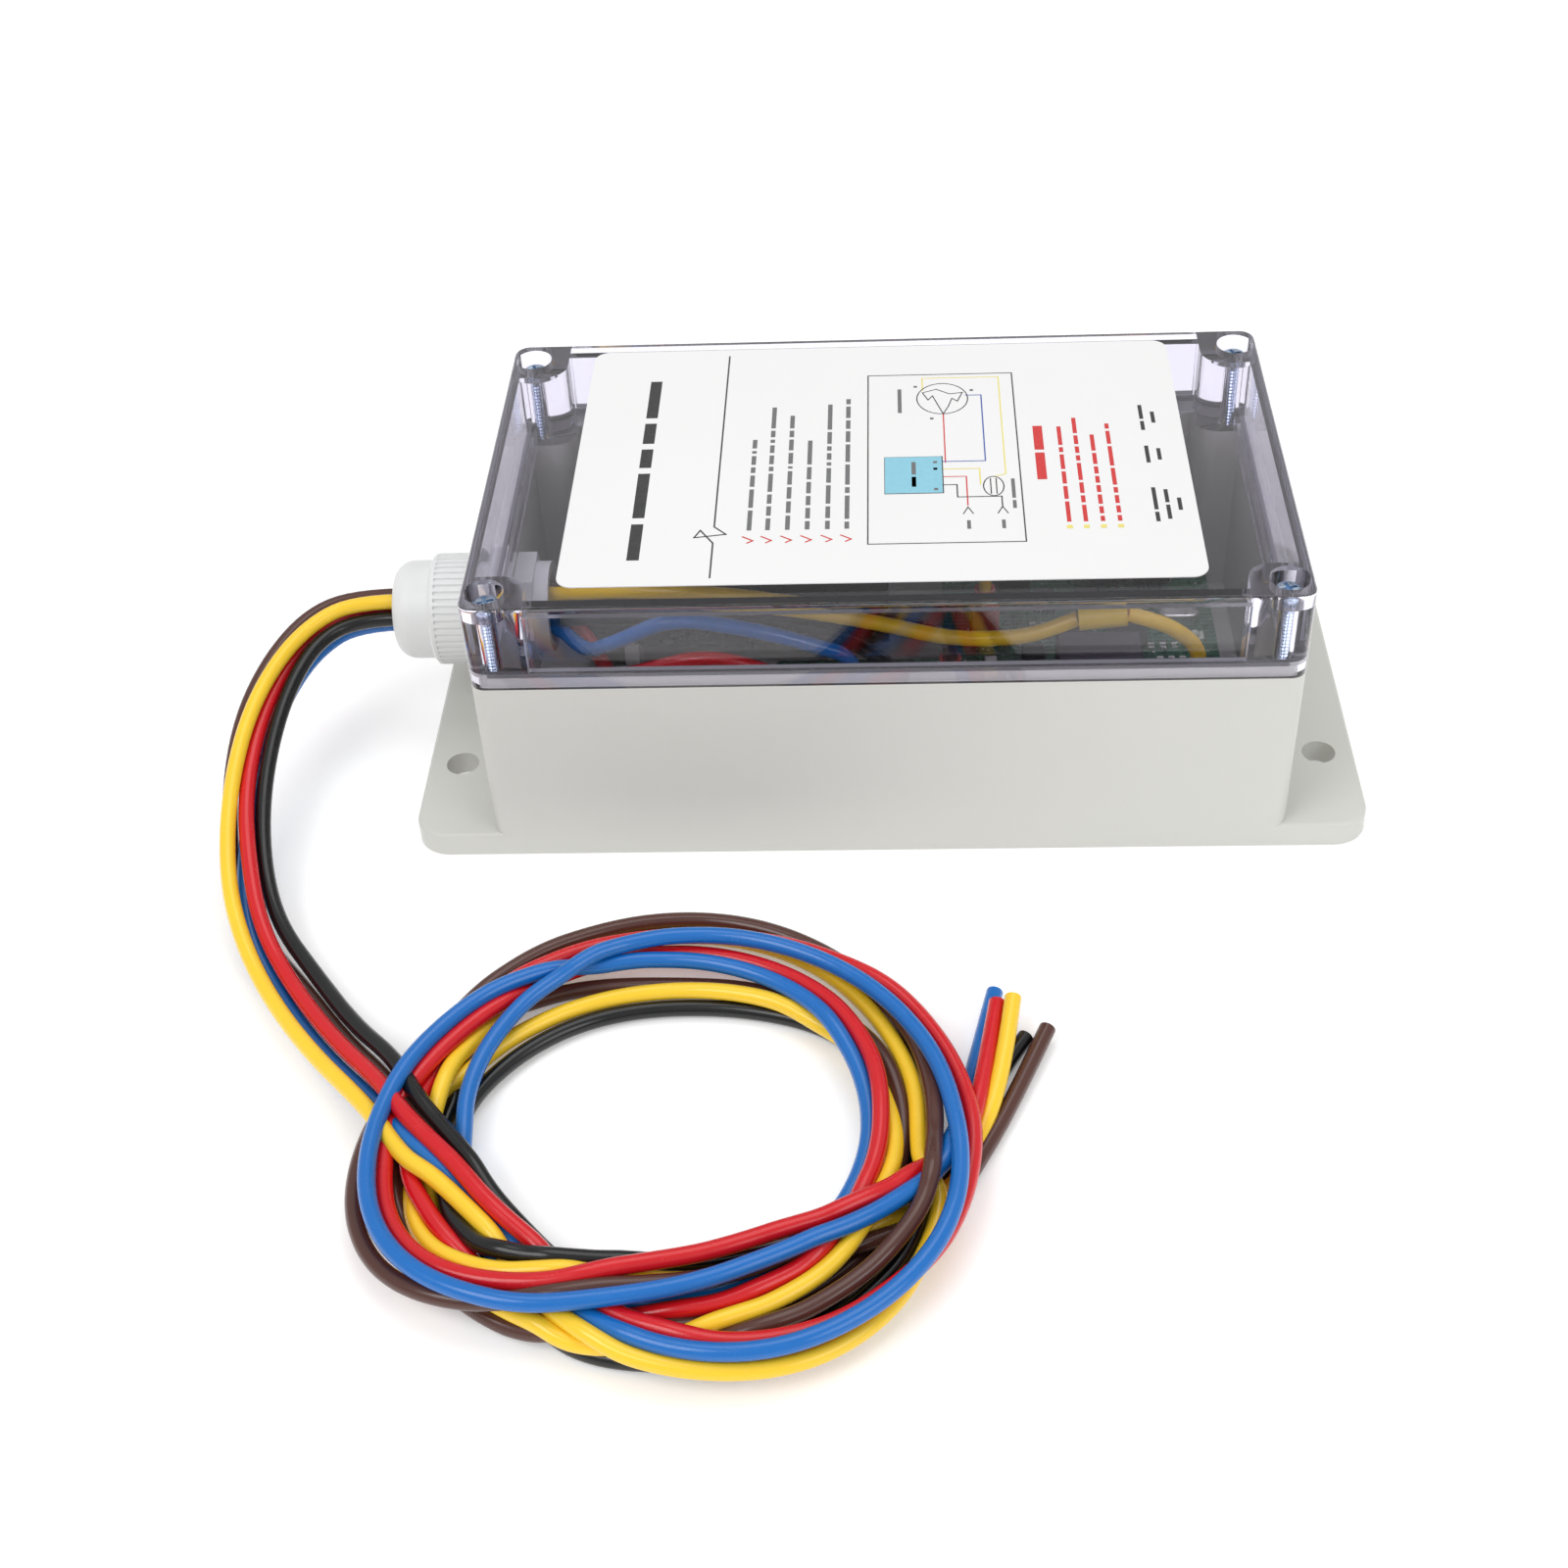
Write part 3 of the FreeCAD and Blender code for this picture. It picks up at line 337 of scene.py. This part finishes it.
# Metres, from the gland's mouth to the cut end.
STRAND_R, STRAND_PITCH, STRAND_SIDES = 0.21, 2.1, 10
STRAND_IN, STRAND_OUT, STRAND_BEVEL, STRAND_TIP = 0.6, 0.35, 0.06, 0.72
GLAND_Z, BUNDLE_R, LEAD_START_X = 33.8, 3.9, -129.0
BUNDLE_ANGLE = {"yellow": 20, "black": 92, "blue": 164, "red": 236, "brown": 308}
OUTER_ROUTES = {
    "yellow": [(-141, -1.6, 37.5), (-151, -7.5, 36), (-159, -19.5, 33), (-164.5, -37, 28),
               (-166, -58, 21), (-164, -78, 13.4), (-158, -96, 9.8), (-148.5, -113, 6),
               (-134, -133, 7.2), (-115.4, -153.4, 10)],
    "black": [(-139.5, -3.9, 33.5), (-149, -9.5, 32.4), (-154.5, -21.5, 29.6), (-158, -38, 24),
              (-158.5, -58, 16.8), (-155.5, -76, 9.8), (-149, -92, 6.8), (-138, -106.5, 5.2),
              (-124.5, -125, 6.6), (-113, -137.3, 9.5)],
    "blue": [(-141.5, -1.1, 29.7), (-151, -7.5, 27), (-156.5, -20.5, 25), (-161, -37.5, 19.8),
             (-162, -58, 14.4), (-160.5, -77.5, 9.8), (-156, -95, 6), (-146, -111.5, 2.2),
             (-131.5, -131, 3), (-115, -148.8, 6.4)],
    "red": [(-142, 3.2, 31.4), (-152, -4.5, 30.6), (-158.5, -20, 28.7), (-162.5, -37.5, 24),
            (-162.5, -58, 18.8), (-158.5, -77, 13.6), (-153, -94, 8.8), (-143.5, -109.5, 5.6),
            (-129, -129, 6.6), (-114.6, -145.1, 10)],
    "brown": [(-142.5, 3.1, 36.1), (-154, -3.5, 34.8), (-162.5, -18, 30.8), (-167.5, -36.5, 24.8),
              (-167.5, -58, 16), (-163.5, -78, 4.8), (-153, -94, 2.2), (-141, -108, 2.2),
              (-126.5, -127, 3), (-113.9, -141.1, 6.2)],
}
TAIL_ROUTES = {
    "blue": [(17.7, -142.5, 2.3), (21.0, -129.0, 2.3), (25.0, -112.0, 2.4)],
    "red": [(19.0, -152.4, 6.5), (22.2, -136.0, 6.4), (25.2, -119.0, 6.4)],
    "yellow": [(19.0, -158.2, 2.4), (25.4, -142.0, 6.6), (28.8, -119.5, 8.6)],
    "brown": [(18.4, -164.0, 2.3), (27.0, -147.0, 2.4), (36.6, -124.5, 3.5)],
    "black": [(18.8, -153.8, 2.2), (23.4, -139.0, 2.2), (31.6, -126.0, 2.2)],
}

# The coil: each lead goes about two and a half times round. The first turn lies outside, the second
# inside it, and the last half turn cuts across from the outside at the left to the tails at the right.
COIL_AT = (-48.0, -154.5)
COIL_STEP = 6
TURN_MARKS = (228, 246, 270, 300, 330, 360, 450, 540, 584, 630, 720, 810, 860, 900, 932, 955, 982,
              1020, 1050)
TURN_RADII = {
    "yellow": (46.5, 54, 62, 70, 65, 53, 61, 54, 58, 56, 50, 41, 47, 57, 60, 53, 43, 42, 52),
    "black": (42.5, 44.5, 52, 61, 63, 56, 68, 52, 54, 59, 54, 38, 43, 50, 54, 47, 38, 39, 50),
    "blue": (44.5, 51, 60, 68, 69, 61, 53.5, 48, 50, 48, 44, 48, 56, 64, 70, 62, 50, 46, 54),
    "red": (43.5, 48, 57, 66, 68, 65.5, 56, 58, 57, 52, 46, 52, 56, 60, 67, 56, 41, 39.5, 50),
    "brown": (42.5, 46, 54, 59, 61, 58, 64, 61, 60, 54, 52, 44, 58, 68, 74, 62, 46, 45, 53),
}
ENTRY_SWEEP = ((11, 12.5), (24, 20.0))
LIE_MARKS = (160, 195, 215, 240, 265, 315, 360, 405, 450, 540, 810, 890, 930, 955, 985, 1020, 1050, 1095)
LIE_HEIGHTS = (12, 14, 9, 4, 3, 5, 9, 6, 4, 3, 3, 3, 5, 10, 10, 6, 3, 2)
LIE_OFFSET = {"black": 0.0, "brown": 1.0, "yellow": 2.0, "red": 3.0, "blue": 4.0}
LAY_ORDER = ("blue", "red", "brown", "black", "yellow")
SETTLE_STEPS, SETTLE_FALL, SETTLE_PULL, SETTLE_STIFF = 400, 0.10, 0.05, 0.6
STIFF_ACROSS, PUSH_ACROSS = 0.6, 0.7  # how much of the stiffness and of the push acts on a strand's radius
LATE_FROM, LATE_STIFF = 0.8, 0.6  # after this share of the steps the strands stop sinking and are less stiff
SAME_PLACE, FLOOR_GAP = 0.01, 0.03


def polar(point):
    dx, dy = point[0] - COIL_AT[0], point[1] - COIL_AT[1]
    return math.hypot(dx, dy), math.degrees(math.atan2(dy, dx)) % 360


def glide(xs, ys, x):
    """A smooth curve through the marks that never overshoots them."""
    xs, ys = np.array(xs, float), np.array(ys, float)
    width = np.diff(xs)
    slope = np.diff(ys) / width
    tilt = np.zeros(len(xs))
    tilt[0] = slope[0]
    tilt[-1] = slope[-1]
    for i in range(1, len(xs) - 1):
        if slope[i - 1] * slope[i] > 0:
            tilt[i] = 2 * slope[i - 1] * slope[i] / (slope[i - 1] + slope[i])
    i = int(np.clip(np.searchsorted(xs, x) - 1, 0, len(xs) - 2))
    t = (x - xs[i]) / width[i]
    return float((1 + 2 * t) * (1 - t) ** 2 * ys[i] + t * (1 - t) ** 2 * width[i] * tilt[i]
                 + t * t * (3 - 2 * t) * ys[i + 1] + t * t * (t - 1) * width[i] * tilt[i + 1])


def coil_stations():
    """Angle, radius and first height of every control point in the coil, for each lead."""
    turns = {}
    for wire in LAY_ORDER:
        r_in, a_in = polar(OUTER_ROUTES[wire][-1])
        r_out, a_out = polar(TAIL_ROUTES[wire][0])
        a_out += 1080 if a_out < 180 else 720
        marks = [a_in, *(a_in + turn for turn, _ in ENTRY_SWEEP), *TURN_MARKS, a_out]
        radii = [r_in, *(r_in - drop for _, drop in ENTRY_SWEEP), *TURN_RADII[wire], r_out]
        first = math.ceil((a_in + 7) / COIL_STEP) * COIL_STEP
        last = math.floor((a_out - 7) / COIL_STEP) * COIL_STEP
        turns[wire] = [[a, glide(marks, radii, a), glide(LIE_MARKS, LIE_HEIGHTS, a) + LIE_OFFSET[wire]]
                       for a in range(first, last + 1, COIL_STEP)]
    return turns


def push_apart(strands, gap):
    """Strands that share one slice of the coil move apart. Some overlap is left where many meet."""
    for i in range(len(strands)):
        for j in range(i):
            one, two = strands[i], strands[j]
            dr, dz = one[1] - two[1], one[2] - two[2]
            apart = math.hypot(dr, dz)
            if apart < gap:
                if apart < SAME_PLACE:
                    dr, dz, apart = 0.0, SAME_PLACE, SAME_PLACE
                move = 0.5 * (gap - apart) / apart
                one[1] += dr * move * PUSH_ACROSS
                two[1] -= dr * move * PUSH_ACROSS
                one[2] += dz * move
                two[2] -= dz * move
    for strand in strands:
        strand[2] = max(strand[2], LEAD_R + FLOOR_GAP)


def part_crossings(pairs, gap):
    """Where two strands change places between neighbouring slices, one is lifted and one pressed down."""
    for a, a_next, b, b_next in pairs:
        if (a[1] - b[1]) * (a_next[1] - b_next[1]) < 0:
            apart = (a[2] - b[2] + a_next[2] - b_next[2]) / 2
            if abs(apart) < gap:
                way = 1.0 if apart >= 0 else -1.0
                move = way * (gap - abs(apart)) / 4
                for spot in (a, a_next):
                    spot[2] = max(spot[2] + move, LEAD_R)
                for spot in (b, b_next):
                    spot[2] = max(spot[2] - move, LEAD_R)


def settle(turns):
    """Let the strands sink onto the ground and each other, held by their own stiffness."""
    slices = {}
    for wire, strand in turns.items():
        for spot in strand:
            slices.setdefault(spot[0] % 360, []).append(spot)
    wanted = {wire: [spot[1] for spot in strand] for wire, strand in turns.items()}
    steps = [(spot, after) for strand in turns.values() for spot, after in zip(strand, strand[1:])]
    steps.sort(key=lambda step: step[0][0] % 360)
    pairs = [(*one, *two) for n, one in enumerate(steps) for two in steps[:n]
             if one[0][0] % 360 == two[0][0] % 360]
    ends = {wire: [(polar(end)[0], end[2]) for end in (OUTER_ROUTES[wire][-1], TAIL_ROUTES[wire][0])]
            for wire in turns}
    for step in range(SETTLE_STEPS):
        late = step > SETTLE_STEPS * LATE_FROM
        stiff = SETTLE_STIFF * (LATE_STIFF if late else 1.0)
        fall = 0.0 if late else SETTLE_FALL
        for wire, strand in turns.items():
            line = [ends[wire][0], *((spot[1], spot[2]) for spot in strand), ends[wire][1]]
            for n, spot in enumerate(strand):
                before, here, after = line[n], line[n + 1], line[n + 2]
                far_before, far_after = line[max(n - 2, 0)], line[min(n + 4, len(line) - 1)]
                bend_r = (before[0] + after[0]) / 2 - here[0]
                bend_z = (before[1] + after[1] + far_before[1] + far_after[1]) / 4 - here[1]
                spot[1] += SETTLE_PULL * (wanted[wire][n] - spot[1]) + STIFF_ACROSS * stiff * bend_r
                spot[2] += stiff * bend_z - fall
        for strands in slices.values():
            push_apart(strands, 2 * LEAD_R)
        part_crossings(pairs, 2 * LEAD_R)
    return turns


def new_mesh(name, build, materials):
    """A mesh object in the scene, filled by a bmesh builder."""
    bm = bmesh.new()
    build(bm)
    data = bpy.data.meshes.new(name)
    bm.to_mesh(data)
    bm.free()
    for finish in materials:
        data.materials.append(finish)
    piece = bpy.data.objects.new(name, data)
    bpy.context.scene.collection.objects.link(piece)
    return piece


def mesh_piece(name, build, materials, body):
    """A mesh object that rides on a body."""
    piece = new_mesh(name, build, materials)
    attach(piece, body)
    return piece


def strand_end(tip, way):
    """The cut copper strands in a lead's end: one, six and twelve wires round each other."""
    across = way.orthogonal().normalized()
    other = way.cross(across)
    spots = [(0.0, 0.0)]
    for ring, count in ((1, 6), (2, 12)):
        for k in range(count):
            turn = math.tau * k / count
            spots.append((STRAND_PITCH * STRAND_R * ring * math.cos(turn),
                          STRAND_PITCH * STRAND_R * ring * math.sin(turn)))
    turns = [math.tau * k / STRAND_SIDES for k in range(STRAND_SIDES)]
    rim = [across * math.cos(turn) + other * math.sin(turn) for turn in turns]
    sections = ((-STRAND_IN, 1.0), (STRAND_OUT - STRAND_BEVEL, 1.0), (STRAND_OUT, STRAND_TIP))

    def build(bm):
        for u, v in spots:
            foot = tip + (across * u + other * v) * MM
            rings = [[bm.verts.new(foot + way * (along * MM) + side * (STRAND_R * size * MM)) for side in rim]
                     for along, size in sections]
            for low, high in zip(rings, rings[1:]):
                for k in range(STRAND_SIDES):
                    after = (k + 1) % STRAND_SIDES
                    bm.faces.new((low[k], low[after], high[after], high[k]))
            bm.faces.new(rings[-1])
    return build


def lead(wire, turns):
    """One lead from the gland through the coil to its cut end, as a single curve."""
    angle = math.radians(BUNDLE_ANGLE[wire])
    start = (LEAD_START_X, -BUNDLE_R * math.sin(angle), GLAND_Z + BUNDLE_R * math.cos(angle))
    points = [start, *OUTER_ROUTES[wire]]
    for a, r, z in turns[wire]:
        turn = math.radians(a)
        points.append((COIL_AT[0] + r * math.cos(turn), COIL_AT[1] + r * math.sin(turn), z))
    points += TAIL_ROUTES[wire]
    points = [Vector(p) * MM for p in points]
    data = bpy.data.curves.new("lead_" + wire, "CURVE")
    data.dimensions = "3D"
    data.resolution_u = 6
    data.bevel_depth = LEAD_R * MM
    data.bevel_resolution = 6
    data.use_fill_caps = True
    spline = data.splines.new("NURBS")
    spline.points.add(len(points) - 1)
    for spot, p in zip(spline.points, points):
        spot.co = (*p, 1.0)
    spline.order_u = 3
    spline.use_endpoint_u = True
    data.materials.append(VINYL[wire])
    piece = bpy.data.objects.new("lead_" + wire, data)
    bpy.context.scene.collection.objects.link(piece)
    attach(piece, "housing")
    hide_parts("outer_lead_" + wire, "lead_tail_" + wire, "lead_coil")
    way = (points[-1] - points[-2]).normalized()
    strands = mesh_piece("strands_" + wire, strand_end(points[-1], way), [COPPER], "housing")


COIL_TURNS = settle(coil_stations())
for wire in LAY_ORDER:
    lead(wire, COIL_TURNS)

# ---------------------------------------------------------------- print on the lid's label

PRINT_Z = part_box("lid_label")[1].z / MM + 0.02
INK_STEP, INK_LEVELS = 0.004, 5  # shapes lie on five levels, so that crossing ones don't share a plane
HAIR, THIN, BOLD = 0.3, 0.34, 0.42


class Print:
    """Flat ink shapes on the label, kept in one mesh. Plan coordinates, millimetres."""

    def __init__(self):
        self.shapes = []

    def shape(self, corners, ink_no):
        self.shapes.append((corners, ink_no))

    def bar(self, x0, y0, x1, y1, ink_no=0):
        self.shape([(x0, y0), (x1, y0), (x1, y1), (x0, y1)], ink_no)

    def stroke(self, points, width, ink_no=0):
        for (x0, y0), (x1, y1) in zip(points, points[1:]):
            long = math.hypot(x1 - x0, y1 - y0)
            ux, uy = (x1 - x0) / long, (y1 - y0) / long
            px, py = -uy * width / 2, ux * width / 2
            ex, ey = ux * width / 2, uy * width / 2
            self.shape([(x0 - ex - px, y0 - ey - py), (x1 + ex - px, y1 + ey - py),
                        (x1 + ex + px, y1 + ey + py), (x0 - ex + px, y0 - ey + py)], ink_no)

    def loop(self, x, y, rx, ry, width, ink_no=0, sides=40):
        ring = [(x + rx * math.cos(math.tau * k / sides), y + ry * math.sin(math.tau * k / sides))
                for k in range(sides + 1)]
        self.stroke(ring, width, ink_no)

    def words(self, x, y_from, lengths, height, gap, ink_no=0):
        """A line of unreadable writing that runs along +Y: one low bar for each word."""
        y = y_from
        for length in lengths:
            self.bar(x - height / 2, y, x + height / 2, y + length, ink_no)
            y += length + gap

    def build(self, bm):
        for n, (corners, ink_no) in enumerate(self.shapes):
            z = (PRINT_Z + INK_STEP * (n % INK_LEVELS)) * MM
            verts = [bm.verts.new((x * MM, y * MM, z)) for x, y in corners]
            face = bm.faces.new(verts)
            face.material_index = ink_no
            if face.normal.z < 0:
                face.normal_flip()


BLACK, GREY, RED, BLUE, SKY, YELLOW = range(6)


def label_print():
    art = Print()
    # heading
    art.words(-59.8, -41.5, (15.0, 19.5, 8.5, 9.5, 18.0), 3.0, 2.6, BLACK)
    # rule with a pulse in it
    art.stroke([(-40.9, 51.5), (-40.9, -28.2), (-37.9, -31.4), (-45.6, -32.6), (-44.2, -29.6), (-40.9, -35.0),
                (-40.9, -49.0)], BOLD, BLACK)
    # six ticked lines
    lines = ((-32.4, (8.5, 8, 5, 2.5, 4, 1.2, 4)), (-27.9, (5, 4, 4, 8, 2, 4, 3.5, 1.5, 3, 10)),
             (-23.1, (6, 5, 5, 6, 1.0, 5, 5, 3, 6)), (-18.3, (3.5, 4.5, 4, 5, 5.5, 11)),
             (-13.4, (3.5, 5, 8, 6.5, 1.5, 3, 2, 5.5, 12)), (-8.7, (3, 10, 2.5, 9, 8, 5, 4, 5.5, 2.5)))
    for x, lengths in lines:
        art.words(x, -30.0, lengths, 1.15, 1.15, GREY)
        art.stroke([(x - 0.2, -35.2), (x + 1.1, -34.3), (x - 1.4, -32.6)], BOLD, RED)
    # wiring sketch
    art.stroke([(-3.6, -36.6), (34.2, -36.6), (34.2, 40.0), (-3.6, 40.0), (-3.6, -36.6)], THIN, BLACK)
    art.bar(0.6, -15.5, 15.0, 0.7, SKY)
    art.stroke([(0.6, -15.5), (15.0, -15.5), (15.0, 0.7), (0.6, 0.7), (0.6, -15.5)], 0.28, BLACK)
    art.words(7.8, -12.6, (4.4, 5.6), 1.1, 1.0, GREY)
    art.words(13.2, -14.3, (1, 1, 1, 1, 1), 1.0, 2.0, GREY)
    art.loop(15.7, 28.0, 6.6, 7.4, HAIR, BLACK)
    art.stroke([(10.6, 31.0), (12.0, 27.4), (13.2, 29.4), (14.6, 24.6), (15.8, 20.6)], HAIR, BLACK)
    art.stroke([(21.0, 30.8), (19.6, 26.6), (18.2, 28.0), (17.2, 24.2), (15.8, 20.6)], HAIR, BLACK)
    art.stroke([(10.6, 31.0), (14.2, 32.6), (17.6, 30.2), (21.0, 30.8)], HAIR, BLACK)
    art.stroke([(15.8, 20.6), (15.8, -2.0)], THIN, RED)
    art.stroke([(21.8, 29.4), (25.8, 29.4), (25.8, -1.6), (15.0, -1.6)], THIN, BLUE)
    art.stroke([(10.6, 32.2), (10.6, 38.2), (30.6, 38.2), (30.6, -7.6), (27.6, -8.8)], THIN, YELLOW)
    art.stroke([(15.0, -5.0), (24.2, -5.0), (24.2, -12.0)], THIN, YELLOW)
    art.stroke([(15.0, -8.4), (20.8, -8.4), (20.8, -21.0)], THIN, RED)
    art.stroke([(15.0, -12.0), (18.4, -12.0), (18.4, -17.4), (29.2, -17.4), (29.2, -22.0)], THIN, BLACK)
    art.loop(27.4, -12.9, 2.5, 4.2, HAIR, BLACK, 28)
    art.stroke([(26.7, -16.2), (26.7, -9.6)], HAIR, BLACK)
    art.stroke([(28.1, -16.2), (28.1, -9.6)], HAIR, BLACK)
    for x in (20.8, 29.2):
        art.stroke([(x - 1.2, -24.6), (x, -21.8), (x + 1.2, -24.6)], HAIR, BLACK)
        art.words(x, -31.0, (3.6,), 0.9, 1.0, GREY)
    art.words(4.6, 21.4, (11.5,), 1.0, 1.0, GREY)
    art.words(32.2, -22.6, (3.4, 8.4), 0.9, 1.0, GREY)
    for x, y in ((8.8, 33.6), (23.4, 31.4), (12.8, 18.0)):
        art.words(x, y, (0.9,), 0.9, 1.0, GREY)
    # coloured notes
    art.words(39.5, -10.4, (12.0, 11.0), 2.4, 1.3, RED)
    notes = ((44.9, (8.6, 5.6, 5.4, 6.6, 2.2, 8.6)), (48.9, (7.0, 3.0, 4.6, 7.6, 2.4, 3.0, 4.0, 7.2)),
             (53.0, (2.2, 3.0, 4.0, 3.0, 3.0, 3.2, 5.0, 7.4)),
             (57.1, (2.4, 3.0, 3.4, 2.4, 7.4, 8.8, 6.0, 2.4)))
    for x, lengths in notes:
        art.words(x, -28.8, lengths, 1.05, 1.05, RED)
        art.bar(x - 0.7, -31.6, x + 0.7, -30.2, YELLOW)
    # captions by the three lamps
    captions = ((-29.6, ((4.0, 9.5), (6.0, 5.6), (5.2,))), (-7.6, ((7.6,), (5.2,))),
                (9.4, ((4.2, 6.6), (5.2,))))
    for y, rows in captions:
        for k, lengths in enumerate(rows):
            wide = sum(lengths) + 1.0 * (len(lengths) - 1)
            art.words(66.2 + 2.9 * k, y + (15.0 - wide) / 2, lengths, 1.0, 1.0, BLACK)
    return art


mesh_piece("label_print", label_print().build,
           [INK_BLACK, INK_GREY, INK_RED, INK_BLUE, INK_SKY, INK_YELLOW], "lid")

# ---------------------------------------------------------------- stage and light
# Everything here is in metres.

FLOOR_HALF, FLOOR_Z = 3.0, -0.0002
LIGHT_AIM = (0.0, -0.05, 0.03)


def floor():
    look = Look("floor_white").set(Specular_IOR_Level=0.2)
    look.colour(look.blend(look.noise(6.0), (0.90, 0.90, 0.90), (0.92, 0.92, 0.92)))
    look.set(Roughness=0.8, Emission_Color=(1.0, 1.0, 1.0, 1.0), Emission_Strength=0.22)

    def build(bm):
        corners = ((-1, -1), (1, -1), (1, 1), (-1, 1))
        bm.faces.new([bm.verts.new((x * FLOOR_HALF, y * FLOOR_HALF, FLOOR_Z)) for x, y in corners])

    new_mesh("floor", build, [look.mat])


def softbox(name, at, size, watts):
    data = bpy.data.lights.new(name, "AREA")
    data.shape = "DISK"
    data.size, data.energy = size, watts
    lamp = bpy.data.objects.new(name, data)
    lamp.location = at
    lamp.rotation_euler = (Vector(LIGHT_AIM) - Vector(at)).to_track_quat("-Z", "Y").to_euler()
    bpy.context.scene.collection.objects.link(lamp)


def surroundings():
    world = bpy.data.worlds.new("studio")
    world.use_nodes = True
    back = world.node_tree.nodes["Background"]
    back.inputs["Color"].default_value = (1.0, 1.0, 1.0, 1.0)
    back.inputs["Strength"].default_value = 0.62
    bpy.context.scene.world = world
    bpy.context.scene.view_settings.view_transform = "Standard"


floor()
softbox("key", (-0.75, -0.75, 1.25), 0.9, 8.0)
softbox("fill", (0.9, -0.9, 0.8), 0.9, 4.5)
softbox("top", (0.1, 0.35, 1.4), 1.1, 5.0)
surroundings()
